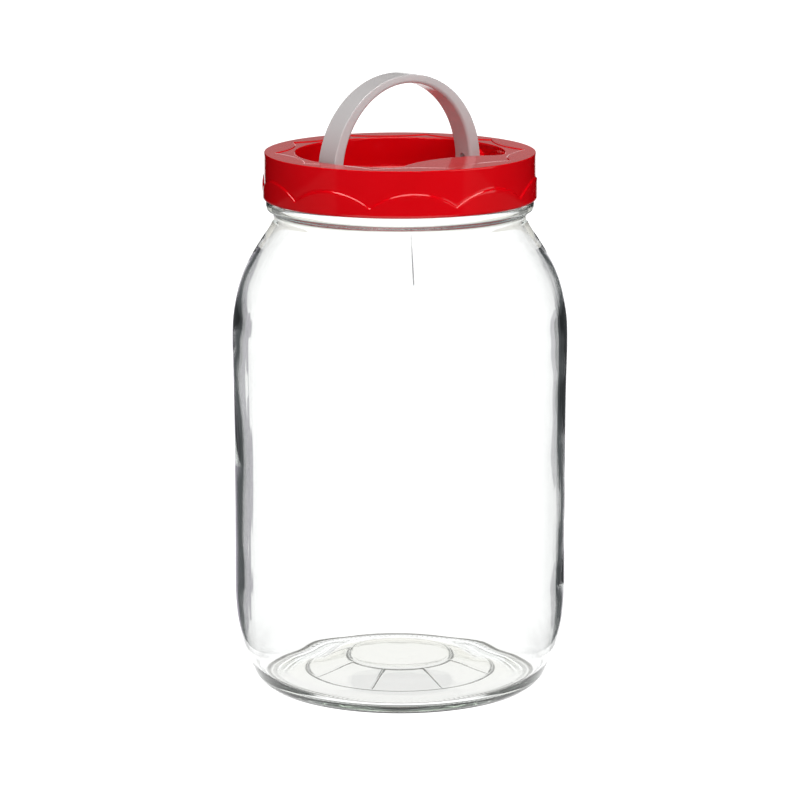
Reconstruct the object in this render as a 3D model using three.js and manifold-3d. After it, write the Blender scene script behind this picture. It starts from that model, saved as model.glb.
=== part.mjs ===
// Large glass storage jar with a screw lid and a folding bail handle.
// Millimetres, +Z up. The origin is the centre of the jar's foot, and +X is the handle's pivot axis.

import * as THREE from 'three';
import { mergeVertices } from 'three/addons/utils/BufferGeometryUtils.js';
import Module from 'manifold-3d';

// ---- Driving dimensions ----

const FACETS = 48; // facets round every large turned surface

// Glass jar, outside
const BODY_R = 75.2;
const BULGE_R = 75.7; // contact bands above and below the label panel
const HEEL_TOP_Z = 40;
const SHOULDER_Z = 163; // where the shoulder's arc leaves the body
const SHOULDER_ARC_R = 70;
const NECK_R = 56.8;
const NECK_Z = 213.5;
const BEAD_R = 60;
const BEAD_TOP_Z = 221.8;
const FINISH_R = 54.9; // plain wall of the mouth, between threads
const RIM_Z = 239; // sealing edge of the glass
const RIM_ROUND = 1.4;

// Glass jar, base and inside
const WALL = 3;
const BEARING_OUTER_R = 61;
const BEARING_INNER_R = 56;
const BASE_WALL = 4.5;
const MOUTH_R = 50.7;
const RIB_COUNT = 8;
const RIB_INNER_R = 25;
const RIB_OUTER_R = 42.6;
const RIB_SIZE = 1.2;
const RIB_PHASE = 32.5; // degrees from +X to the first rib

// Thread: four starts that the glass and the lid share
const STARTS = 4;
const LEAD = 20; // rise per turn
const GLASS_THREAD = { root: FINISH_R - 0.6, crest: 56.9, rootHalf: 1.25, crestHalf: 0.6, sweep: 75 };
const LID_THREAD = { root: 59.5, crest: 55.7, rootHalf: 1.3, crestHalf: 0.6, sweep: 24 };
const GLASS_THREAD_Z = 230; // low end of each glass thread
const THREAD_OFFSET = 2.5; // lid lugs sit half a start below the glass threads
const LUG_START = 8; // degrees past the low end of the glass threads

// Screw lid
const LID_TOP_Z = 243;
const LID_TOP_R = 61;
const SKIRT_R = 61.7;
const SKIRT_BOTTOM_Z = 222.2;
const SKIRT_WALL = 2.7;
const TOP_WALL = 1.8;
const WELL_R = 47.5;
const WELL_WALL = 1.7;
const WELL_FLOOR_Z = 228.5;
const WEB_ARC_R = 50; // edge of the flat web, bulging towards the middle
const WEB_ARC_Y = -76.8;
const WELL_CORNER_R = 6;

// Sealing ring
const RING = { inner: 50.6, outer: 57.3, bottom: 239.3, top: 240.9 };

// Bail handle, upright
const PIVOT_Z = 235.4;
const BAIL_R = 42.4;
const BAIL_WIDTH = 11.5;
const BAIL_CROWN = 3.9; // thickness at the top of the arch
const BAIL_FOOT = 5.8; // thickness at the pivots
const BAIL_EDGE = 1.1; // chamfer along the inner edges
const STUD_R = 2.4;
const STUD_END_X = 46.6;
const STUD_BORE_R = 1.7;
const STUD_BORE_END_X = 45.4;
const SOCKET_R = 2.7;
const SOCKET_END_X = 46.9;
const POST_R = 4.2;
const POST_INNER_X = 43;

const wasm = await Module();
wasm.setup();

const radians = THREE.MathUtils.degToRad;

// ---- Solids ----

function toSolid(geometry) {
  const bare = geometry.clone();
  bare.deleteAttribute('normal');
  bare.deleteAttribute('uv');
  const merged = mergeVertices(bare, 1e-4);
  return new wasm.Manifold(
    new wasm.Mesh({
      numProp: 3,
      vertProperties: new Float32Array(merged.attributes.position.array),
      triVerts: new Uint32Array(merged.index.array),
    }),
  );
}

function toGeometry(solid) {
  const { numProp, vertProperties, triVerts } = solid.getMesh();
  const positions = new Float32Array((vertProperties.length / numProp) * 3);
  for (let i = 0; i < positions.length / 3; i++) {
    for (let axis = 0; axis < 3; axis++) positions[3 * i + axis] = vertProperties[numProp * i + axis];
  }
  const geometry = new THREE.BufferGeometry();
  geometry.setAttribute('position', new THREE.BufferAttribute(positions, 3));
  geometry.setIndex([...triVerts]);
  geometry.computeVertexNormals();
  return geometry;
}

// A turned solid about +Z. The profile's points are (radius, height), anticlockwise about its inside.
function turned(profile, facets = FACETS) {
  const geometry = new THREE.LatheGeometry(profile, facets);
  geometry.rotateX(Math.PI / 2);
  return toSolid(geometry);
}

// An upright prism of a plan outline.
function prism(outline, bottom, top) {
  const shape = new THREE.Shape(outline);
  const geometry = new THREE.ExtrudeGeometry(shape, { depth: top - bottom, bevelEnabled: false });
  geometry.translate(0, 0, bottom);
  return toSolid(geometry);
}

// A round bar along X.
function barX(radius, fromX, toX, facets = 24) {
  const geometry = new THREE.CylinderGeometry(radius, radius, toX - fromX, facets);
  geometry.rotateZ(Math.PI / 2);
  geometry.translate((fromX + toX) / 2, 0, PIVOT_Z);
  return toSolid(geometry);
}

// The same bar at both ends of the pivot axis.
function pairX(radius, fromX, toX, facets) {
  return [barX(radius, fromX, toX, facets), barX(radius, -toX, -fromX, facets)];
}

function point(x, y) {
  return new THREE.Vector2(x, y);
}

// Points of an arc, from one angle in degrees to the other, both ends included.
function arc(centreX, centreY, radius, fromDeg, toDeg, steps) {
  return Array.from({ length: steps + 1 }, (_, i) => {
    const angle = radians(fromDeg + ((toDeg - fromDeg) * i) / steps);
    return point(centreX + radius * Math.cos(angle), centreY + radius * Math.sin(angle));
  });
}

// A closed skin over equal rings of points. The ends are capped.
function skin(rings) {
  const count = rings[0].length;
  const positions = rings.flat().flatMap((p) => [p.x, p.y, p.z]);
  const index = [];
  for (let r = 0; r < rings.length - 1; r++) {
    for (let i = 0; i < count; i++) {
      const a = r * count + i;
      const b = r * count + ((i + 1) % count);
      index.push(a, b, b + count, a, b + count, a + count);
    }
  }
  const last = (rings.length - 1) * count;
  for (let i = 1; i < count - 1; i++) {
    index.push(0, i + 1, i);
    index.push(last, last + i, last + i + 1);
  }
  const geometry = new THREE.BufferGeometry();
  geometry.setAttribute('position', new THREE.Float32BufferAttribute(positions, 3));
  geometry.setIndex(index);
  return toSolid(geometry);
}

// One helical thread ridge. It tapers to nothing at both ends, and its root is buried in the wall.
function ridge({ root, crest, rootHalf, crestHalf, sweep }, startDeg, startZ) {
  const steps = Math.round(sweep / 7.5);
  const outwards = crest > root;
  const rings = [];
  for (let i = 0; i <= steps; i++) {
    const share = i / steps;
    const angle = radians(startDeg + sweep * share);
    const z = startZ + (LEAD * sweep * share) / 360;
    const full = Math.min(1, (steps * Math.min(share, 1 - share)) / 1.5 + 0.12);
    const tip = root + (crest - root) * full;
    const section = [
      point(root, -rootHalf), point(tip, -crestHalf), point(tip, crestHalf), point(root, rootHalf),
    ];
    if (outwards) section.reverse();
    const place = (s) => new THREE.Vector3(s.x * Math.cos(angle), s.x * Math.sin(angle), z + s.y);
    rings.push(section.map(place));
  }
  return skin(rings);
}

function union(solids) {
  return solids.reduce((sum, solid) => sum.add(solid));
}

// ---- Glass jar ----

// The pushed-up base as (radius, height), from its centre to the bearing ring.
const PUSH_UP = [
  [0, 9.8], [14, 9.6], [RIB_INNER_R, 8.8], [34, 6.2], [RIB_OUTER_R, 3.4], [50, 1.4], [BEARING_INNER_R, 0],
];

function pushUpZ(radius) {
  const next = PUSH_UP.findIndex(([r]) => r >= radius);
  if (next === 0) return PUSH_UP[0][1];
  const [r0, z0] = PUSH_UP[next - 1];
  const [r1, z1] = PUSH_UP[next];
  return z0 + ((z1 - z0) * (radius - r0)) / (r1 - r0);
}

function jarProfile() {
  const underside = PUSH_UP.map(([r, z]) => point(r, z));
  const heel = [point(BEARING_OUTER_R, 0), point(65, 1.6), point(67.8, 5.6), point(71, 13), point(73.4, 23)];
  const body = [point(75, 32), point(BULGE_R - 0.2, HEEL_TOP_Z), point(BODY_R, 62), point(BODY_R, 135)];
  const shoulder = arc(BULGE_R - SHOULDER_ARC_R, SHOULDER_Z, SHOULDER_ARC_R, 0, 41, 8);
  const neck = [point(57.3, 211.4), point(NECK_R, NECK_Z), point(57.3, 215.6)];
  const bead = [
    point(BEAD_R - 0.4, 217.8), point(BEAD_R, 219), point(BEAD_R, 220.8), point(BEAD_R - 0.7, BEAD_TOP_Z),
  ];
  const finish = [point(FINISH_R, 222.6), point(FINISH_R, RIM_Z - RIM_ROUND), point(FINISH_R - 0.9, RIM_Z)];
  const mouth = [point(MOUTH_R + 0.9, RIM_Z), point(MOUTH_R, RIM_Z - RIM_ROUND), point(MOUTH_R, 219)];
  const innerArcR = SHOULDER_ARC_R - WALL;
  const innerNeck = [point(52.6, 213)];
  const innerShoulder = arc(BULGE_R - SHOULDER_ARC_R, SHOULDER_Z, innerArcR, 42, 0, 8);
  const innerBody = [point(BODY_R - WALL, 135), point(BODY_R - WALL, 40)];
  const innerHeel = [point(71.2, 26), point(68, 15.5), point(62, 9.2), point(56, BASE_WALL + 1.6)];
  const innerDome = [42, 28, 14, 0].map((r) => point(r, pushUpZ(r) + BASE_WALL));
  return [
    ...underside, ...heel, ...body, ...shoulder, ...neck, ...bead, ...finish,
    ...mouth, ...innerNeck, ...innerShoulder, ...innerBody, ...innerHeel, ...innerDome,
  ];
}

function baseRib(turn) {
  const length = RIB_OUTER_R - RIB_INNER_R;
  const geometry = new THREE.BoxGeometry(length, RIB_SIZE, 2 * RIB_SIZE);
  geometry.rotateY(Math.atan2(pushUpZ(RIB_INNER_R) - pushUpZ(RIB_OUTER_R), length));
  geometry.translate((RIB_INNER_R + RIB_OUTER_R) / 2, 0, pushUpZ((RIB_INNER_R + RIB_OUTER_R) / 2) + 0.2);
  geometry.rotateZ(radians(turn));
  return toSolid(geometry);
}

function glassJar() {
  const threads = [];
  for (let i = 0; i < STARTS; i++) threads.push(ridge(GLASS_THREAD, (360 / STARTS) * i, GLASS_THREAD_Z));
  const ribs = [];
  for (let i = 0; i < RIB_COUNT; i++) ribs.push(baseRib((360 / RIB_COUNT) * i + RIB_PHASE));
  return union([turned(jarProfile()), ...threads, ...ribs]);
}

// ---- Sealing ring ----

function sealingRing() {
  const { inner, outer, bottom, top } = RING;
  return turned([
    point(inner, bottom), point(outer, bottom), point(outer, top), point(inner, top), point(inner, bottom),
  ]);
}

// ---- Screw lid ----

// Plan outline of the well: a circle cut off by the web's convex edge, with rounded corners.
// A positive offset makes it larger all round, which gives the outside of the well's wall.
function wellOutline(offset) {
  const circle = WELL_R + offset;
  const web = WEB_ARC_R - offset;
  const corner = WELL_CORNER_R + offset;
  const toCorner = WELL_R - WELL_CORNER_R;
  const fromWeb = WEB_ARC_R + WELL_CORNER_R;
  const cornerY = (fromWeb ** 2 - toCorner ** 2 - WEB_ARC_Y ** 2) / (-2 * WEB_ARC_Y);
  const cornerX = Math.sqrt(toCorner ** 2 - cornerY ** 2);
  const toDeg = THREE.MathUtils.radToDeg;
  const circleEnd = toDeg(Math.atan2(cornerY, cornerX));
  const webEnd = toDeg(Math.atan2(cornerY - WEB_ARC_Y, cornerX));
  return [
    ...arc(0, 0, circle, circleEnd, 180 - circleEnd, 36),
    ...arc(-cornerX, cornerY, corner, 180 - circleEnd, 360 - webEnd, 5).slice(1),
    ...arc(0, WEB_ARC_Y, web, 180 - webEnd, webEnd, 10).slice(1),
    ...arc(cornerX, cornerY, corner, 180 + webEnd, 360 + circleEnd, 5).slice(1, -1),
  ];
}

// A post on the well's wall with a rounded head, which carries one end of the handle's pivot.
function pivotPost(side) {
  const foot = WELL_FLOOR_Z - 0.5;
  const head = arc(0, PIVOT_Z, POST_R, 0, 180, 10);
  const outline = new THREE.Shape([point(-POST_R, foot), point(POST_R, foot), ...head]);
  const depth = WELL_R + 0.6 - POST_INNER_X;
  const geometry = new THREE.ExtrudeGeometry(outline, { depth, bevelEnabled: false });
  geometry.rotateX(Math.PI / 2);
  geometry.rotateZ(Math.PI / 2);
  geometry.translate(side > 0 ? POST_INNER_X : -POST_INNER_X - depth, 0, 0);
  return toSolid(geometry);
}

function screwLid() {
  const body = turned([
    point(0, SKIRT_BOTTOM_Z), point(SKIRT_R - 1.1, SKIRT_BOTTOM_Z),
    point(SKIRT_R - 0.25, SKIRT_BOTTOM_Z + 0.8), point(SKIRT_R, SKIRT_BOTTOM_Z + 2.2),
    point(LID_TOP_R, LID_TOP_Z - 1), point(LID_TOP_R - 0.3, LID_TOP_Z - 0.3),
    point(LID_TOP_R - 1, LID_TOP_Z), point(0, LID_TOP_Z),
  ]);
  const below = SKIRT_BOTTOM_Z - 2;
  const inside = SKIRT_R - SKIRT_WALL;
  const roof = LID_TOP_Z - TOP_WALL;
  const hollow = turned([
    point(0, below), point(inside, below), point(inside, SKIRT_BOTTOM_Z + 2), point(inside - 0.5, roof - 0.8),
    point(inside - 1.3, roof), point(0, roof),
  ]);
  const casing = prism(wellOutline(WELL_WALL), WELL_FLOOR_Z - TOP_WALL, LID_TOP_Z);
  const well = prism(wellOutline(0), WELL_FLOOR_Z, LID_TOP_Z + 1);
  const lugs = [];
  for (let i = 0; i < STARTS; i++) {
    const start = (360 / STARTS) * i + LUG_START;
    lugs.push(ridge(LID_THREAD, start, GLASS_THREAD_Z - THREAD_OFFSET + (LEAD * LUG_START) / 360));
  }
  let lid = body.subtract(hollow.subtract(casing)).subtract(well);
  lid = union([lid, ...lugs, pivotPost(1), pivotPost(-1)]);
  return lid.subtract(barX(SOCKET_R, -SOCKET_END_X, SOCKET_END_X));
}

// ---- Bail handle ----

function bailArch() {
  const half = BAIL_WIDTH / 2;
  const edge = 0.4;
  const rings = [];
  const steps = 32;
  for (let i = 0; i <= steps; i++) {
    const angle = (Math.PI * i) / steps;
    const thickness = BAIL_CROWN + (BAIL_FOOT - BAIL_CROWN) * Math.cos(angle) ** 2;
    const inner = BAIL_R - thickness;
    const section = [
      point(BAIL_R, edge - half), point(BAIL_R, half - edge),
      point(BAIL_R - edge, half), point(inner + BAIL_EDGE, half),
      point(inner, half - BAIL_EDGE), point(inner, BAIL_EDGE - half),
      point(inner + BAIL_EDGE, -half), point(BAIL_R - edge, -half),
    ];
    const place = (s) => new THREE.Vector3(s.x * Math.cos(angle), s.y, PIVOT_Z + s.x * Math.sin(angle));
    rings.push(section.map(place));
  }
  return skin(rings);
}

// The rounded end of each leg, the stud that stands out of it, and the core hole through both.
function bailHandle() {
  const inner = BAIL_R - BAIL_FOOT;
  const ends = pairX(BAIL_WIDTH / 2, inner, BAIL_R, 32);
  const studs = pairX(STUD_R, inner + 1, STUD_END_X);
  const bores = pairX(STUD_BORE_R, inner - 1, STUD_BORE_END_X);
  return union([bailArch(), ...ends, ...studs]).subtract(union(bores));
}

// ---- Assembly ----

function finish(color, roughness, opacity = 1) {
  return new THREE.MeshStandardMaterial({ color, roughness, metalness: 0, opacity, transparent: opacity < 1 });
}

const clearGlass = finish(0xe4efea, 0.03, 0.35);
const redPlastic = finish(0xc8040c, 0.22);
const palePlastic = finish(0xd9d5d4, 0.3);
const softSeal = finish(0xe8e6df, 0.7);

const group = new THREE.Group();

function addPiece(name, solid, material) {
  const mesh = new THREE.Mesh(toGeometry(solid), material);
  mesh.name = name;
  group.add(mesh);
}

addPiece('glass_jar', glassJar(), clearGlass);
addPiece('sealing_ring', sealingRing(), softSeal);
addPiece('screw_lid', screwLid(), redPlastic);
addPiece('bail_handle', bailHandle(), palePlastic);

export default group;
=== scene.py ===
"""Large glass storage jar with a red screw lid and a folding bail handle.

The shapes are worked out in millimetres in the CAD frame and written to meshes in metres. The camera, the
cards and the lamps are in metres.
"""

import math

import bmesh
import bpy
import numpy as np
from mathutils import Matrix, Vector, noise


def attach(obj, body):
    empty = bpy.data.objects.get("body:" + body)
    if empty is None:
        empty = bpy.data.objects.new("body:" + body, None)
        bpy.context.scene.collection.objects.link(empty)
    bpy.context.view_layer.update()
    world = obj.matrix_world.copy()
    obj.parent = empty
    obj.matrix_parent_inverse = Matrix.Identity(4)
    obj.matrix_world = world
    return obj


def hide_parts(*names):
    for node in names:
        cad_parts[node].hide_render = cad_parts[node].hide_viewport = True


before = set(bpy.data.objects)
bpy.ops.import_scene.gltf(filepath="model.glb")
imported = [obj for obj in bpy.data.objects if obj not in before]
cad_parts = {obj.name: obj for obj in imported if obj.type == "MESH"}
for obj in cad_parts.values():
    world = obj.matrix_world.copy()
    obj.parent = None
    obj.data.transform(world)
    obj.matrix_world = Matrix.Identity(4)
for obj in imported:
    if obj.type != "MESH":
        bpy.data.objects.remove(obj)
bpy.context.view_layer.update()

MM = 0.001
TAU = 2 * math.pi

# Jar
BEARING_R = 56.0  # where the pushed-up base meets the bearing ring
BASE_TOP = 12.0  # above the pushed-up base's highest point
BASE_WALL = 3.5
RIB_RINGS = (23.0, 41.6)  # radii of the two rings that the ribs of the base run between
RIB_PHASE = 32.5
RIB_COUNT = 8
RIB_DEPTH = 0.55
RIB_HALF = 0.8
RING_HALF = 1.0
BEAD_FOOT = (57.2, 216.0)  # radius and height where the shoulder ends and the neck bead starts
FINISH_R = 54.9
FINISH_FOOT = 224.4
FINISH_TOP = 237.3
BRIM = 239.0
MOUTH_R = 50.7
MOUTH_TOP = 237.5
NECK_INSIDE = (54.0, 213.5)
LEAD = 20.0
STARTS = 4
THREAD_Z = 230.0
THREAD_SWEEP = 75.0
THREAD_RUN_OUT = 9.0  # degrees over which each end of a thread fades
THREAD_PROUD = 2.0
THREAD_CREST = 0.45  # half the width of the crest
THREAD_FLANK = 1.0
WAVE = 0.4  # unevenness of the blown inside wall
SEAM_ANGLE = math.radians(-124.4)
KNURLS = 150.0  # waves of the knurling round the foot

# Lid
LID_TOP = 243.0
LID_R = 61.5
LID_CORNER = 0.9
LID_UNDER = 241.2  # underside of the top face
SKIRT_BOTTOM = 222.2
SKIRT_FLARE = 0.2
WELL_R = 46.8
WELL_FLOOR = 228.5
WELL_FILLET = 1.8
WELL_RIM = 0.7
WEB_ARC_R = 50.0
WEB_ARC_Y = -76.8
WELL_CORNER = 6.0
WALL = 1.7
SCALLOPS = 10
SCALLOP_PHASE = -141.8
SCALLOP_RISE = 6.5
SCALLOP_ON_TOP = 5.4  # from the middle of the top corner to the cusps on the top face
SCALLOP_ON_SKIRT = 16.4  # the same, down to the cusps on the skirt
SCALLOP_STEP = 0.4  # half the width of the step at the scalloped line
RELIEF = 0.7
PLATEAU = LID_TOP - 0.35  # the top inside the scalloped line
POST_R = 4.2
SOCKET_R = 2.7
LUG_START = 8
LUG_SWEEP = 24

# Handle
PIVOT_Z = 235.4
BAIL_R = 42.4
BAIL_HALF = 5.75
BAIL_CROWN = 3.9
BAIL_FOOT = 5.8
STUD_R = 2.4
STUD_END = 46.6
CORE_R = 1.9
CORE_RISE = 1.5  # the hole in each leg above the pivot axis


# ---- Mesh helpers ----


def make_object(name, verts, faces, material):
    mesh = bpy.data.meshes.new(name)
    mesh.from_pydata((np.asarray(verts, float) * MM).tolist(), [], faces)
    mesh.validate()
    bm = bmesh.new()
    bm.from_mesh(mesh)
    bmesh.ops.remove_doubles(bm, verts=bm.verts, dist=1e-7)
    bmesh.ops.recalc_face_normals(bm, faces=bm.faces)
    bm.to_mesh(mesh)
    bm.free()
    mesh.polygons.foreach_set("use_smooth", [True] * len(mesh.polygons))
    obj = bpy.data.objects.new(name, mesh)
    bpy.context.scene.collection.objects.link(obj)
    mesh.materials.append(material)
    return obj


def grid_faces(rows, cols, first=0):
    """Quads between closed rings that follow each other in the vertex list."""
    faces = []
    for r in range(rows - 1):
        for c in range(cols):
            a = first + r * cols + c
            b = first + r * cols + (c + 1) % cols
            faces.append((a, b, b + cols, a + cols))
    return faces


def catmull(points, step):
    """Points about step apart along a centripetal Catmull-Rom curve.

    The step is one number, or a list with one for each span.
    """
    steps = [step] * (len(points) - 1) if isinstance(step, (int, float)) else step
    p = [np.array(q, float) for q in points]
    p = [2 * p[0] - p[1], *p, 2 * p[-1] - p[-2]]
    out = []
    for i in range(1, len(p) - 2):
        a, b, c, d = p[i - 1 : i + 3]
        ta = 0.0
        tb = ta + max(np.linalg.norm(b - a), 1e-6) ** 0.5
        tc = tb + max(np.linalg.norm(c - b), 1e-6) ** 0.5
        td = tc + max(np.linalg.norm(d - c), 1e-6) ** 0.5
        count = max(1, round(float(np.linalg.norm(c - b)) / steps[i - 1]))
        for k in range(count):
            t = tb + (tc - tb) * k / count
            a1 = (tb - t) / (tb - ta) * a + (t - ta) / (tb - ta) * b
            a2 = (tc - t) / (tc - tb) * b + (t - tb) / (tc - tb) * c
            a3 = (td - t) / (td - tc) * c + (t - tc) / (td - tc) * d
            b1 = (tc - t) / (tc - ta) * a1 + (t - ta) / (tc - ta) * a2
            b2 = (td - t) / (td - tb) * a2 + (t - tb) / (td - tb) * a3
            out.append((tc - t) / (tc - tb) * b1 + (t - tb) / (tc - tb) * b2)
    out.append(p[-2])
    return np.array(out)


def ring(radius, angles, height):
    """Points round the axis; the radius and the height are each one number, or one for each angle."""
    height = height * np.ones(len(angles))
    return np.stack([radius * np.cos(angles), radius * np.sin(angles), height], 1)


def smoothstep(x):
    x = np.clip(x, 0, 1)
    return x * x * (3 - 2 * x)


def bump(x, half):
    """1 at x = 0, falling smoothly to 0 at half either way."""
    return 1 - smoothstep(np.abs(x) / half)


# ---- Materials ----


def new_material(name):
    mat = bpy.data.materials.new(name)
    mat.use_nodes = True
    nodes = mat.node_tree.nodes
    return mat, mat.node_tree, nodes["Principled BSDF"]


def noise_node(tree, scale, detail=2.0):
    coords = tree.nodes.new("ShaderNodeTexCoord")
    tex = tree.nodes.new("ShaderNodeTexNoise")
    tex.inputs["Scale"].default_value = scale
    tex.inputs["Detail"].default_value = detail
    tree.links.new(coords.outputs["Object"], tex.inputs["Vector"])
    return tex.outputs["Fac"]


def ramped(tree, source, low, high):
    """The 0 to 1 source mapped between two numbers."""
    node = tree.nodes.new("ShaderNodeMapRange")
    node.inputs["To Min"].default_value = low
    node.inputs["To Max"].default_value = high
    tree.links.new(source, node.inputs["Value"])
    return node.outputs["Result"]


def colour_ramp(tree, source, stops):
    """The source looked up in a ramp of (position, colour) stops, which are in order."""
    node = tree.nodes.new("ShaderNodeValToRGB")
    elements = node.color_ramp.elements
    elements[0].position = stops[0][0]
    elements[1].position = stops[-1][0]
    for position, _ in stops[1:-1]:
        elements.new(position)
    for element, (_, colour) in zip(elements, stops, strict=True):
        element.color = (*colour, 1)
    tree.links.new(source, node.inputs["Fac"])
    return node.outputs["Color"]


def bumped(tree, source, strength, distance):
    node = tree.nodes.new("ShaderNodeBump")
    node.inputs["Strength"].default_value = strength
    node.inputs["Distance"].default_value = distance
    tree.links.new(source, node.inputs["Height"])
    return node.outputs["Normal"]


def plastic(name, dark, light, rough, grain):
    """Moulded plastic: slight colour drift, uneven gloss and a faint orange peel."""
    mat, tree, shader = new_material(name)
    drift = noise_node(tree, 25.0)
    peel = noise_node(tree, grain, 3.0)
    tree.links.new(colour_ramp(tree, drift, [(0.3, dark), (0.7, light)]), shader.inputs["Base Color"])
    tree.links.new(ramped(tree, peel, *rough), shader.inputs["Roughness"])
    tree.links.new(bumped(tree, peel, 0.05, 0.0002), shader.inputs["Normal"])
    shader.inputs["IOR"].default_value = 1.49
    return mat


def worked_out(tree, operation, *values):
    """A Math node's result; each value is a socket or a number."""
    node = tree.nodes.new("ShaderNodeMath")
    node.operation = operation
    for socket, value in zip(node.inputs, values, strict=False):
        if isinstance(value, (int, float)):
            socket.default_value = value
        else:
            tree.links.new(value, socket)
    return node.outputs["Value"]


def band(tree, source, low, high, soft):
    """1 between low and high, falling to 0 over the soft width outside them."""
    sides = []
    for edge, outside in ((low, low - soft), (high, high + soft)):
        node = tree.nodes.new("ShaderNodeMapRange")
        node.interpolation_type = "SMOOTHSTEP"
        node.inputs["From Min"].default_value = outside
        node.inputs["From Max"].default_value = edge
        tree.links.new(source, node.inputs["Value"])
        sides.append(node.outputs["Result"])
    return worked_out(tree, "MULTIPLY", *sides)


def mould_marks(tree):
    """Height of the marks left by the mould: a short seam on the shoulder and knurling under the foot."""
    coords = tree.nodes.new("ShaderNodeTexCoord")
    split = tree.nodes.new("ShaderNodeSeparateXYZ")
    tree.links.new(coords.outputs["Object"], split.inputs["Vector"])
    x, y, z = split.outputs["X"], split.outputs["Y"], split.outputs["Z"]
    angle = worked_out(tree, "ARCTAN2", y, x)
    squares = [worked_out(tree, "MULTIPLY", value, value) for value in (x, y)]
    radius = worked_out(tree, "SQRT", worked_out(tree, "ADD", *squares))
    seam = band(tree, angle, SEAM_ANGLE - 0.0005, SEAM_ANGLE + 0.0005, 0.0035)
    seam = worked_out(tree, "MULTIPLY", seam, band(tree, z, 0.1955, 0.213, 0.004))
    wave = worked_out(tree, "SINE", worked_out(tree, "MULTIPLY", angle, KNURLS))
    under_foot = band(tree, z, -1, 0.0004, 0.0003)
    knurl = worked_out(tree, "MULTIPLY", band(tree, radius, 0.0565, 0.0590, 0.0005), under_foot)
    seam = worked_out(tree, "MULTIPLY", seam, 1.7)
    return worked_out(tree, "ADD", seam, worked_out(tree, "MULTIPLY", wave, knurl))


def clear_glass():
    mat, tree, shader = new_material("clear_glass")
    tree.links.new(bumped(tree, mould_marks(tree), 1.0, 0.00012), shader.inputs["Normal"])
    shader.inputs["Base Color"].default_value = (1, 1, 1, 1)
    shader.inputs["Transmission Weight"].default_value = 1
    shader.inputs["IOR"].default_value = 1.52
    ripple = noise_node(tree, 60.0, 1.0)
    tree.links.new(ramped(tree, ripple, 0.0, 0.012), shader.inputs["Roughness"])
    volume = tree.nodes.new("ShaderNodeVolumeAbsorption")
    volume.inputs["Color"].default_value = (0.62, 0.84, 0.68, 1)
    volume.inputs["Density"].default_value = 7
    output = tree.nodes["Material Output"]
    tree.links.new(volume.outputs["Volume"], output.inputs["Volume"])
    return mat


GLASS = clear_glass()
RED = plastic("red_plastic", (0.55, 0.0006, 0.003), (0.62, 0.0008, 0.0045), (0.07, 0.12), 900.0)
PALE = plastic("pale_plastic", (0.48, 0.46, 0.46), (0.53, 0.505, 0.505), (0.14, 0.22), 1200.0)
SEAL = plastic("seal_foam", (0.70, 0.68, 0.62), (0.78, 0.76, 0.71), (0.6, 0.8), 2500.0)


# ---- Glass jar ----


def jar_columns():
    """Angles round the jar, closer together beside each rib of the base."""
    sector = 360 / RIB_COUNT
    near = np.linspace(-1.6, 1.6, 13)
    far = np.linspace(1.6, sector - 1.6, 26)[1:-1]
    one = np.concatenate([near, far])
    return np.radians(RIB_PHASE + np.concatenate([one + sector * k for k in range(RIB_COUNT)]))


PUSH_UP = catmull([(0, 10.2), (8, 10.15), (16, 9.8), (23, 9.0), (30, 7.3), (36, 5.3), (42.6, 3.3), (50, 1.4),
                   (55.2, 0.3), (58, 0)], 0.5)


def push_up(radius):
    """Height of the pushed-up base at a radius."""
    return np.interp(radius, PUSH_UP[:, 0], PUSH_UP[:, 1])


def jar_outside():
    """Radius and height along the outside, from the middle of the base up to the brim's inner edge."""
    dome = [(r, push_up(r)) for r in np.concatenate([
        np.linspace(0.0, 21.4, 12), np.linspace(21.8, 24.2, 9), np.linspace(25, 40.0, 11),
        np.linspace(40.4, 42.8, 9), np.linspace(44, 54, 7)])]
    foot = [(54.8, push_up(54.8)), (56.3, 0.08), (58.5, 0.0), (60.8, 0.08), (62.6, 0.55), (64.4, 1.6),
            (66.4, 4.1), (67.9, 7.4), (69.7, 11.4), (71.5, 16), (73.1, 22), (74.5, 30), (75.15, 38),
            (75.35, 46)]
    body = [(75.2, 62), (75.2, 90), (75.2, 120), (75.4, 140), (75.7, 156)]
    shoulder = [(75.4, 167), (74.25, 175), (72.1, 184), (69.3, 191.4), (66.0, 197.6), (62.6, 203),
                (60.2, 206.6), (58.2, 210), (57.1, 213), BEAD_FOOT]
    steps = [0.8] * (len(foot) - 1) + [2.2] * len(body) + [1.2] * len(shoulder)
    wall = catmull(foot + body + shoulder, steps)
    bead = catmull([BEAD_FOOT, (57.6, 216.8), (58.7, 217.3), (59.8, 217.7), (60.15, 218.4), (60.2, 219.4),
                    (60.0, 220.6), (59.3, 221.6), (58.0, 222.1), (56.0, 222.5), (55.1, 223.2),
                    (FINISH_R, FINISH_FOOT)], 0.35)
    finish = catmull([(FINISH_R, FINISH_FOOT), (FINISH_R, FINISH_TOP)], 0.42)
    lip = catmull([(FINISH_R, FINISH_TOP), (54.5, 238.4), (53.5, BRIM), (52.1, BRIM), (51.1, 238.5),
                   (MOUTH_R, MOUTH_TOP)], 0.4)
    return np.concatenate([dome, wall[:-1], bead[:-1], finish[:-1], lip[:-1]])


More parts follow.
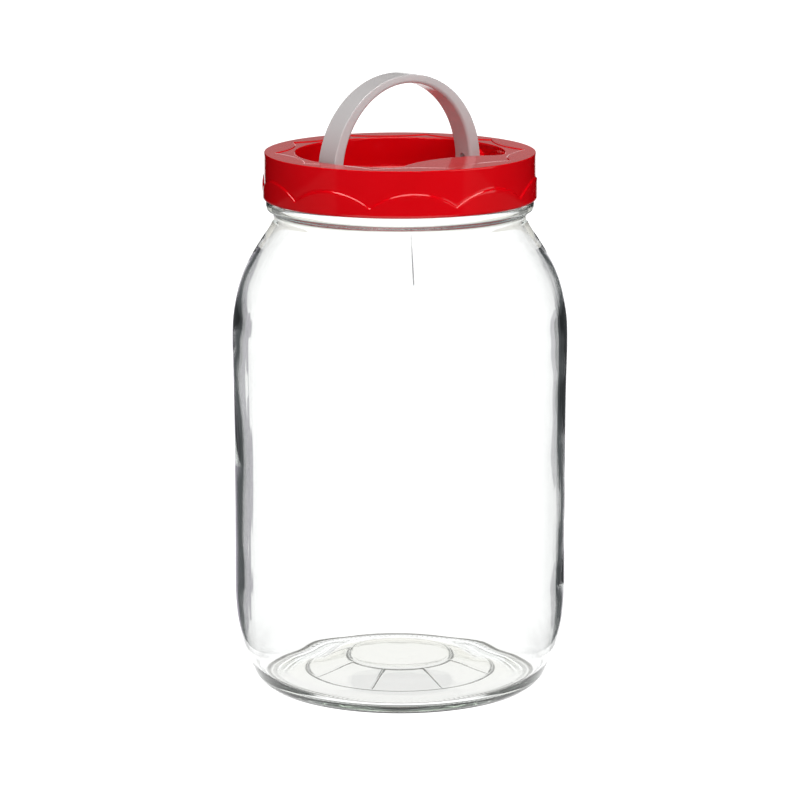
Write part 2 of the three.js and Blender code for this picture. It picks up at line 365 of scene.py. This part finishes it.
def jar_inside():
    """Radius and height along the inside, from the mouth down to the middle of the base."""
    mouth = catmull([(MOUTH_R, MOUTH_TOP), (50.8, 229), (51.8, 223.5), (53.4, 219.5), (53.9, 216.5),
                     NECK_INSIDE], 1.0)
    shoulder = [NECK_INSIDE, (54.7, 211.4), (56.2, 208.4), (59.0, 204), (63.0, 197.6), (67.0, 190),
                (70.2, 182), (72.1, 173), (72.65, 162)]
    body = [(72.5, 148), (72.3, 130), (72.2, 90), (72.2, 62)]
    heel = [(72.15, 48), (71.75, 34), (70.7, 24), (69.0, 16), (66.8, 10.4), (65.1, 7.4), (64.1, 6.0),
            (63.4, 5.2), (62.4, 4.7), (61.1, 4.45), (59.4, 4.35), (56, 4.3), (52, 4.6)]
    steps = [1.4] * (len(shoulder) - 1) + [2.2] * len(body) + [0.8] * len(heel)
    wall = catmull(shoulder + body + heel, steps)
    dome = [(r, push_up(r) + BASE_WALL) for r in np.linspace(50, 0, 22)]
    return np.concatenate([mouth[:-1], wall, dome])


def thread_height(angle, z):
    """How far the thread stands proud of the finish at an angle and a height."""
    best = 0.0
    for start in range(STARTS):
        turn = (math.degrees(angle) - 360 / STARTS * start) % 360
        if turn > THREAD_SWEEP:
            continue
        centre = THREAD_Z + LEAD * turn / 360
        ends = smoothstep(min(turn, THREAD_SWEEP - turn) / THREAD_RUN_OUT)
        section = 1 - smoothstep((abs(z - centre) - THREAD_CREST) / THREAD_FLANK)
        best = max(best, THREAD_PROUD * float(ends) * float(section))
    return best


def wall_wave(angles, z):
    """Smooth unevenness of the blown wall at a height, about -1 to 1."""
    return np.array([
        noise.noise(Vector((1.3 * math.cos(a), 1.3 * math.sin(a), z / 48.0)))
        + 0.2 * noise.noise(Vector((3.0 * math.cos(a) + 9, 3.0 * math.sin(a), z / 17.0)))
        for a in angles])


def glass_jar():
    angles = jar_columns()
    columns = len(angles)
    outside, inside = jar_outside(), jar_inside()
    sector = 360 / RIB_COUNT
    from_rib = (np.degrees(angles) - RIB_PHASE + sector / 2) % sector - sector / 2
    rings = []
    for r, z in outside[1:]:
        radius, height = r, z
        if r < BEARING_R - 1 and z < BASE_TOP:
            circles = max(bump(r - ring_r, RING_HALF) for ring_r in RIB_RINGS)
            spokes = bump(np.radians(from_rib) * r, RIB_HALF) * (RIB_RINGS[0] < r < RIB_RINGS[1])
            height = z - RIB_DEPTH * np.maximum(circles, spokes)
        if FINISH_FOOT < z < FINISH_TOP:
            radius = r + np.array([thread_height(a, z) for a in angles])
        rings.append(ring(radius, angles, height))
    for r, z in inside[:-1]:
        fade = float(smoothstep((z - 25) / 45) * smoothstep((208 - z) / 30))
        radius = r + WAVE * fade * wall_wave(angles, z) if fade > 0 else r
        rings.append(ring(radius, angles, z))
    last_ring = (len(rings) - 1) * columns
    faces = grid_faces(len(rings), columns)
    under, over = len(rings) * columns, len(rings) * columns + 1
    for c in range(columns):
        d = (c + 1) % columns
        faces.append((under, d, c))
        faces.append((over, last_ring + c, last_ring + d))
    poles = [(0, 0, outside[0][1]), (0, 0, inside[-1][1])]
    return make_object("glass_jar_body", np.concatenate([*rings, poles]), faces, GLASS)


# ---- Screw lid ----


def arc(cx, cy, radius, start, stop, steps):
    t = np.radians(np.linspace(start, stop, steps + 1))
    return np.stack([cx + radius * np.cos(t), cy + radius * np.sin(t)], 1)


def well_outline(offset):
    """Plan of the well, a circle cut off by the web's convex edge. A positive offset makes it larger."""
    reach, web = WELL_R - WELL_CORNER, WEB_ARC_R + WELL_CORNER
    y = (web**2 - reach**2 - WEB_ARC_Y**2) / (-2 * WEB_ARC_Y)
    x = math.sqrt(reach**2 - y**2)
    circle_end = math.degrees(math.atan2(y, x))
    web_end = math.degrees(math.atan2(y - WEB_ARC_Y, x))
    return np.concatenate([
        arc(0, 0, WELL_R + offset, circle_end, 180 - circle_end, 240)[:-1],
        arc(-x, y, WELL_CORNER + offset, 180 - circle_end, 360 - web_end, 20)[:-1],
        arc(0, WEB_ARC_Y, WEB_ARC_R - offset, 180 - web_end, web_end, 70)[:-1],
        arc(x, y, WELL_CORNER + offset, 180 + web_end, 360 + circle_end, 20)[:-1]])


def scallop(angles):
    """0 at each cusp and 1 half way between two, along a circular arc."""
    pitch = 360 / SCALLOPS
    half_chord = math.radians(pitch / 2) * LID_R
    rise = SCALLOP_RISE
    radius = (half_chord**2 + rise**2) / (2 * rise)
    local = (np.degrees(angles) - SCALLOP_PHASE) % pitch - pitch / 2
    x = np.radians(local) * LID_R
    return (np.sqrt(radius**2 - x**2) - (radius - rise)) / rise


def shell_point(s):
    """Radius, height and normal on the lid's outside at arc length s from the middle of its top corner."""
    quarter = LID_CORNER * math.pi / 4
    drop = LID_TOP - SKIRT_BOTTOM
    lean = math.atan(SKIRT_FLARE / drop)
    on_top = s < -quarter
    on_skirt = s > quarter
    turn = np.clip((s + quarter) / (2 * quarter), 0, 1) * math.pi / 2
    nr, nz = np.sin(turn), np.cos(turn)
    r = LID_R - LID_CORNER + LID_CORNER * nr
    z = LID_TOP - LID_CORNER + LID_CORNER * nz
    r = np.where(on_top, LID_R - LID_CORNER + s + quarter, r)
    below = s - quarter
    r = np.where(on_skirt, LID_R + below * math.sin(lean), r)
    z = np.where(on_skirt, LID_TOP - LID_CORNER - below * math.cos(lean), z)
    return r, z, nr, nz


def between(first, last, count):
    """Evenly spaced rows from the first to the last."""
    return [first + (last - first) * t for t in np.linspace(0, 1, count)]


def lid_rings():
    """Rings of the lid's outside from the flat top to the skirt's lower edge, with the scalloped relief."""
    angles = np.radians(SCALLOP_PHASE + np.linspace(0, 360, 541)[:-1])
    rise = SCALLOP_RISE * scallop(angles)
    inner = -(SCALLOP_ON_TOP + rise)
    outer = SCALLOP_ON_SKIRT - rise
    step = SCALLOP_STEP
    full = np.ones(len(angles))
    corner = LID_CORNER * math.pi / 4
    bottom = LID_TOP - SKIRT_BOTTOM - LID_CORNER + corner - 1.4
    rows = [-(LID_R - 49.0) * full, -(LID_R - 49.15) * full]
    rows += between(rows[-1], inner - step, 5)[1:-1]
    rows += between(inner - step, inner + step, 9)
    rows += between(inner + step, -(corner + 0.3) * full, 6)[1:]
    rows += between(-corner * full, corner * full, 9)
    rows += between((corner + 0.3) * full, outer - step, 9)[:-1]
    rows += between(outer - step, outer + step, 9)
    rows += between(outer + step, bottom * full, 7)[1:]
    rings = []
    for s in rows:
        r, z, nr, _ = shell_point(s)
        r = r - RELIEF * nr * smoothstep((outer + step - s) / (2 * step))
        z = z - (LID_TOP - PLATEAU) * smoothstep((inner + step - s) / (2 * step))
        rings.append(ring(r, angles, z))
    return angles, rings


def turned_rings(angles, profile):
    return [ring(r, angles, z) for r, z in profile]


def outline_rings(profile):
    """Rings that follow the well's outline; the profile's points are (offset, height)."""
    rings = []
    for offset, z in profile:
        plan = well_outline(offset)
        rings.append(np.concatenate([plan, np.full((len(plan), 1), z)], 1))
    return rings


def lid_shell():
    """The moulding but for posts and lugs: well, top face, skirt and underside, as one closed skin."""
    bm = bmesh.new()

    def add_rings(rings):
        loops = [[bm.verts.new(Vector(p) * MM) for p in points] for points in rings]
        for low, high in zip(loops[:-1], loops[1:], strict=True):
            n = len(low)
            for i in range(n):
                bm.faces.new((low[i], low[(i + 1) % n], high[(i + 1) % n], high[i]))
        return loops[0], loops[-1]

    def close(*loops):
        edges = [bm.edges.get((loop[i - 1], loop[i])) for loop in loops for i in range(len(loop))]
        bmesh.ops.triangle_fill(bm, use_beauty=True, use_dissolve=False, edges=edges)

    quarter = np.radians(np.linspace(0, 90, 6))
    well = [(-2.4, WELL_FLOOR), (-2.2, WELL_FLOOR)]
    well += [(-WELL_FILLET * (1 - math.sin(t)), WELL_FLOOR + WELL_FILLET * (1 - math.cos(t)))
             for t in quarter]
    well += [(0.0, 233.0), (0.0, 238.0), (0.0, PLATEAU - 1)]
    well += [(WELL_RIM - WELL_RIM * math.cos(t), PLATEAU - WELL_RIM + WELL_RIM * math.sin(t))
             for t in quarter]
    well += [(0.85, PLATEAU), (0.95, PLATEAU)]
    floor_loop, rim_loop = add_rings(outline_rings(well))
    close(floor_loop)

    angles, rings = lid_rings()
    edge = [(61.68, SKIRT_BOTTOM + 1.0), (61.5, SKIRT_BOTTOM + 0.45), (61.0, SKIRT_BOTTOM + 0.1),
            (60.2, SKIRT_BOTTOM), (59.4, SKIRT_BOTTOM + 0.1), (59.0, SKIRT_BOTTOM + 0.5),
            (58.95, 226), (58.6, 233), (58.1, 240.2), (57.8, 240.9), (57.2, LID_UNDER), (56.6, LID_UNDER)]
    top_loop, under_loop = add_rings(rings + turned_rings(angles, edge))
    close(rim_loop, top_loop)

    underside = [(WALL + 0.4, LID_UNDER), (WALL + 0.2, 241.0), (WALL, 240.5), (WALL, 234.0), (WALL, 229.0),
                 (WALL - 0.4, 227.5), (WALL - 1.2, 226.8), (WALL - 1.8, 226.7)]
    hidden_loop, bottom_loop = add_rings(outline_rings(underside))
    close(under_loop, hidden_loop)
    close(bottom_loop)

    bmesh.ops.recalc_face_normals(bm, faces=bm.faces)
    mesh = bpy.data.meshes.new("lid_shell")
    bm.to_mesh(mesh)
    bm.free()
    mesh.polygons.foreach_set("use_smooth", [True] * len(mesh.polygons))
    mesh.materials.append(RED)
    obj = bpy.data.objects.new("lid_shell", mesh)
    bpy.context.scene.collection.objects.link(obj)
    return obj


def lathe_x(name, profile, side, material, facets=48, rise=0.0):
    """A solid turned about the pivot axis, or a line above it; the profile's points are (radius, x)."""
    t = np.linspace(0, TAU, facets + 1)[:-1]
    z = PIVOT_Z + rise
    rings = [np.stack([np.full(facets, side * x), r * np.cos(t), z + r * np.sin(t)], 1) for r, x in profile]
    verts = np.concatenate(rings)
    return make_object(name, verts, grid_faces(len(profile), facets), material)


def pivot_post(side):
    """A post on the well's wall with a rounded head and a blind socket for the handle's stud."""
    head = arc(0, PIVOT_Z, POST_R, 0, 180, 32)
    foot = np.array([(-POST_R, WELL_FLOOR - 0.4), (POST_R, WELL_FLOOR - 0.4)])
    outline = np.concatenate([head, foot])
    n = len(outline)
    socket = arc(0, PIVOT_Z, SOCKET_R, 0, 360, n)[:-1]
    centre = np.array([0, PIVOT_Z])
    rows = []
    for plan, shrink, x in ((outline, 0, 47.6), (outline, 0, 43.5), (outline, 0.15, 43.15),
                            (outline, 0.5, 43.0), (socket, -0.3, 43.0), (socket, 0, 43.2),
                            (socket, 0, 46.9), (socket, 2.6, 46.9)):
        away = plan - centre
        length = np.linalg.norm(away, axis=1, keepdims=True)
        plan = centre + away * (1 - shrink / length)
        rows.append(np.stack([np.full(n, side * x), plan[:, 0], plan[:, 1]], 1))
    name = "lid_post_right" if side > 0 else "lid_post_left"
    return make_object(name, np.concatenate(rows), grid_faces(len(rows), n), RED)


def lid_lugs():
    """One short sloping lug inside the skirt under each start of the jar's thread."""
    verts, faces = [], []
    stations = 25
    for start in range(STARTS):
        base = 360 / STARTS * start + LUG_START
        first = len(verts)
        for i in range(stations):
            share = i / (stations - 1)
            a = math.radians(base + LUG_SWEEP * share)
            centre = THREAD_Z - 2.5 + LEAD * (LUG_START + LUG_SWEEP * share) / 360
            proud = 3.0 * float(smoothstep(min(share, 1 - share) * 6)) + 0.05
            section = ((59.0, -1.5), (58.8, -1.3), (58.6 - proud, -0.6), (58.6 - proud, 0.6), (58.8, 1.3),
                       (59.0, 1.5))
            verts += [(r * math.cos(a), r * math.sin(a), centre + up) for r, up in section]
        n = len(section)
        faces += grid_faces(stations, n, first)
        faces.append(tuple(range(first, first + n)))
        faces.append(tuple(range(first + n * (stations - 1), first + n * stations)))
    return make_object("lid_lugs", verts, faces, RED)


# ---- Sealing ring ----


def sealing_ring():
    t = np.linspace(0, TAU, 193)[:-1]
    profile = [(50.6, 239.5), (50.8, 239.3), (52.4, 239.3), (52.9, 239.45), (54.4, 239.45), (54.9, 239.3),
               (57.1, 239.3), (57.3, 239.5), (57.3, 240.7), (57.1, 240.9), (50.8, 240.9), (50.6, 240.7),
               (50.6, 239.5)]
    rings = turned_rings(t, profile)
    return make_object("seal_ring", np.concatenate(rings), grid_faces(len(rings), len(t)), SEAL)


# ---- Bail handle ----


def bail_section(thickness, half):
    """Points (depth below the outer face, width) of the rounded strip, all round."""
    outer, inner = 0.45, min(1.5, thickness / 2 - 0.1)
    corners = ((outer, half - outer, outer, 180), (thickness - inner, half - inner, inner, 90),
               (thickness - inner, inner - half, inner, 360), (outer, outer - half, outer, 270))
    points = []
    for depth, width, radius, start in corners:
        for k in range(6):
            a = math.radians(start - 18 * k)
            points.append((depth + radius * math.cos(a), width + radius * math.sin(a)))
    return points


def bail_handle():
    # Each foot is half a disc below the pivot, as (height from the pivot, share of the band's width).
    turns = np.radians(np.linspace(90, 0, 14))[:-1]
    foot = [(-BAIL_HALF * math.sin(t), max(math.cos(t), 0.02)) for t in turns]
    stations = [(0.0, drop, wide) for drop, wide in foot]
    stations += [(angle, 0.0, 1.0) for angle in np.linspace(0, math.pi, 97)]
    stations += [(math.pi, drop, wide) for drop, wide in reversed(foot)]
    verts = []
    for angle, drop, wide in stations:
        thickness = BAIL_CROWN + (BAIL_FOOT - BAIL_CROWN) * math.cos(angle) ** 2
        section = bail_section(thickness, BAIL_HALF)
        for depth, y in section:
            reach = BAIL_R - depth
            verts.append((reach * math.cos(angle), y * wide, PIVOT_Z + reach * math.sin(angle) + drop))
    n = len(section)
    faces = grid_faces(len(stations), n)
    faces.append(tuple(range(n)))
    faces.append(tuple(range(n * (len(stations) - 1), n * len(stations))))
    body = make_object("bail_handle_arch", verts, faces, PALE)
    stud = [(0.01, 41.0), (STUD_R, 41.0), (STUD_R, 46.3), (2.1, STUD_END), (0.01, STUD_END)]
    core = [(0.01, 35.0), (CORE_R, 35.0), (CORE_R, 41.4), (0.01, 41.4)]
    for side in (1, -1):
        cut(body, lathe_x("stud", stud, side, PALE), "UNION")
        cut(body, lathe_x("core", core, side, PALE, rise=CORE_RISE), "DIFFERENCE")
    soften(body, 0.25, 35)
    return body


def cut(target, tool, operation):
    """Joins the tool to the target or takes it away, and deletes the tool."""
    modifier = target.modifiers.new("cut", "BOOLEAN")
    modifier.object = tool
    modifier.operation = operation
    modifier.solver = "EXACT"
    bpy.context.view_layer.update()
    graph = bpy.context.evaluated_depsgraph_get()
    mesh = bpy.data.meshes.new_from_object(target.evaluated_get(graph))
    target.modifiers.clear()
    old, target.data = target.data, mesh
    bpy.data.meshes.remove(old)
    bpy.data.objects.remove(tool)


def soften(obj, width, angle):
    """Rounds the sharp edges that are left and keeps flat faces flat in the shading."""
    bevel = obj.modifiers.new("edges", "BEVEL")
    bevel.width = width * MM
    bevel.segments = 2
    bevel.limit_method = "ANGLE"
    bevel.angle_limit = math.radians(angle)
    obj.data.polygons.foreach_set("use_smooth", [True] * len(obj.data.polygons))
    obj.modifiers.new("normals", "WEIGHTED_NORMAL")


def place(obj, body, node=None):
    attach(obj, body)
    if node:
        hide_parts(node)


place(glass_jar(), "jar", "glass_jar")
place(lid_shell(), "lid", "screw_lid")
for post in (pivot_post(1), pivot_post(-1), lid_lugs()):
    place(post, "lid")
place(sealing_ring(), "seal", "sealing_ring")
place(bail_handle(), "bail", "bail_handle")


# ---- Camera ----

AZIMUTH, ELEVATION, DISTANCE = math.radians(-39.5), math.radians(12.1), 1.690
TARGET = Vector((0, 0, 0.1292))
LENS, SENSOR = 167.7, 36  # millimetres

camera = bpy.data.objects.new("camera", bpy.data.cameras.new("camera"))
scene = bpy.context.scene
scene.collection.objects.link(camera)
scene.camera = camera
back = Vector((math.sin(AZIMUTH) * math.cos(ELEVATION), -math.cos(AZIMUTH) * math.cos(ELEVATION),
               math.sin(ELEVATION)))
camera.location = TARGET + back * DISTANCE
camera.rotation_mode = "QUATERNION"
camera.rotation_quaternion = (-back).to_track_quat("-Z", "Y")
camera.data.lens = LENS
camera.data.sensor_width = SENSOR


# ---- Stage ----


def glow(name, colour, strength):
    mat = bpy.data.materials.new(name)
    mat.use_nodes = True
    tree = mat.node_tree
    tree.nodes.clear()
    output = tree.nodes.new("ShaderNodeOutputMaterial")
    emission = tree.nodes.new("ShaderNodeEmission")
    emission.inputs["Color"].default_value = (*colour, 1)
    emission.inputs["Strength"].default_value = strength
    tree.links.new(emission.outputs["Emission"], output.inputs["Surface"])
    return mat


def plane(name, corners, material):
    mesh = bpy.data.meshes.new(name)
    mesh.from_pydata([tuple(c) for c in corners], [], [(0, 1, 2, 3)])
    mesh.materials.append(material)
    obj = bpy.data.objects.new(name, mesh)
    scene.collection.objects.link(obj)
    return obj


def rig_card(name, corners, material, seen_by):
    """A card that stays in place beside the camera's line of sight. Only the named kinds of ray meet it."""
    card = plane(name, corners, material)
    card.parent = camera
    card.visible_camera = False
    card.visible_diffuse = False
    card.visible_glossy = "glossy" in seen_by
    card.visible_transmission = "transmission" in seen_by
    card.visible_shadow = False


def rig_lamp(name, location, size, energy, glossy=True):
    """A soft rectangular lamp, placed from the camera and aimed at the object."""
    data = bpy.data.lights.new(name, "AREA")
    data.shape = "RECTANGLE"
    data.size, data.size_y = size
    data.energy = energy
    lamp = bpy.data.objects.new(name, data)
    scene.collection.objects.link(lamp)
    lamp.parent = camera
    lamp.location = location
    aim = Vector((0, 0.06, -DISTANCE)) - Vector(location)
    lamp.rotation_mode = "QUATERNION"
    lamp.rotation_quaternion = aim.to_track_quat("-Z", "Y")
    lamp.visible_glossy = glossy
    lamp.visible_transmission = False
    return lamp


def soft_floor():
    """A white floor with a painted contact shadow where the jar stands, grey under it and a thin dark ring
    at its foot, and an unseen one for its light.
    """
    corners = [(-9, -9, 0), (9, -9, 0), (9, 9, 0), (-9, 9, 0)]
    white = glow("floor_white_with_painted_shadow", (1, 1, 1), 1.3)
    tree = white.node_tree
    coords = tree.nodes.new("ShaderNodeTexCoord")
    length = tree.nodes.new("ShaderNodeVectorMath")
    length.operation = "LENGTH"
    tree.links.new(coords.outputs["Object"], length.inputs[0])
    tenths = worked_out(tree, "MULTIPLY", length.outputs["Value"], 10)
    # Painted contact shadow in the floor's emission: grey under the jar, and dark in a thin ring where its
    # bearing ring stands.
    dark = (0.01, 0.01, 0.01)
    painted_contact_shade = colour_ramp(tree, tenths, [(0.588, (0.70, 0.70, 0.69)), (0.600, dark), (0.614, dark),
                                       (0.624, (1, 1, 1))])
    tree.links.new(painted_contact_shade, tree.nodes["Emission"].inputs["Color"])
    plane("floor", corners, white).visible_diffuse = False
    fill = plane("floor_fill", corners, glow("floor_fill", (1, 1, 1), 0.78))
    fill.visible_camera = fill.visible_glossy = fill.visible_transmission = fill.visible_shadow = False


def studio_world():
    """White at the horizon and darker towards the zenith."""
    world = bpy.data.worlds.new("studio")
    world.use_nodes = True
    scene.world = world
    tree = world.node_tree
    coords = tree.nodes.new("ShaderNodeTexCoord")
    split = tree.nodes.new("ShaderNodeSeparateXYZ")
    tree.links.new(coords.outputs["Generated"], split.inputs["Vector"])
    sky = colour_ramp(tree, split.outputs["Z"], [(0.05, (1, 1, 1)), (0.11, (0.25, 0.245, 0.24)),
                                                 (0.35, (0.17, 0.17, 0.17)), (0.6, (0.08, 0.08, 0.08))])
    background = tree.nodes["Background"]
    tree.links.new(sky, background.inputs["Color"])
    background.inputs["Strength"].default_value = 1.2


def upright(x, low, high, near, far):
    """Corners of a card that runs along the line of sight."""
    return [(x, low, near), (x, high, near), (x, high, far), (x, low, far)]


def facing(left, right, low, high, z):
    """Corners of a card square to the line of sight."""
    return [(left, low, z), (right, low, z), (right, high, z), (left, high, z)]


def studio_cards():
    """Dark cards draw the edges of the glass, and black ones keep the room out of the plastic."""
    dark = glow("dark_card", (0.085, 0.092, 0.095), 1.0)
    black = glow("black_card", (0, 0, 0), 0)
    glass_edges = ("transmission", "glossy")
    for side, dark_end, grey_end, grey in ((-1, 0.065, 0.13, (0.41, 0.385, 0.44)),
                                           (1, 0.075, 0.12, (0.66, 0.64, 0.68))):
        near, middle, far = -DISTANCE + 0.12, -DISTANCE - dark_end, -DISTANCE - grey_end
        beside = 0.095 * side
        rig_card(f"dark_card_{side}", upright(beside, -0.3, 0.085, near, middle), dark, glass_edges)
        rig_card(f"grey_card_{side}", upright(beside, -0.3, 0.085, middle, far),
                 glow(f"grey_card_{side}", grey, 1.0), glass_edges)
        rig_card(f"side_card_{side}", upright(0.5 * side, -2, 2, -0.7, -6), black, ("glossy",))
    rig_card("top_card", [(-0.5, 1.1, -1.15), (0.6, 1.1, -1.15), (0.6, 1.1, -1.6), (-0.5, 1.1, -1.6)],
             glow("top_card", (1.0, 0.95, 0.90), 6.0), ("glossy",))
    rig_card("back_glow", facing(-1.2, 1.2, 0.5, 3, -4), glow("back_glow", (1.0, 0.98, 0.92), 1.0),
             ("transmission",))
    rig_card("front_card", facing(-3, 3, -3, 3, -0.8), black, ("glossy",))


def studio_lamps():
    rig_lamp("key", (0.30, 1.0, -0.7), (0.6, 0.6), 7.5, glossy=False)
    rig_lamp("fill", (0.05, 1.25, -0.95), (0.7, 0.6), 11.5, glossy=False)
    rig_lamp("front", (0.22, 0.1, -0.3), (0.5, 0.5), 4.5, glossy=False)
    rig_lamp("side", (0.42, 0.10, -1.45), (0.12, 0.4), 0.2).visible_diffuse = False


soft_floor()
studio_world()
studio_cards()
studio_lamps()

scene.view_settings.view_transform = "Standard"
scene.cycles.max_bounces = 24
scene.cycles.transmission_bounces = 20
scene.cycles.glossy_bounces = 8
scene.cycles.diffuse_bounces = 4
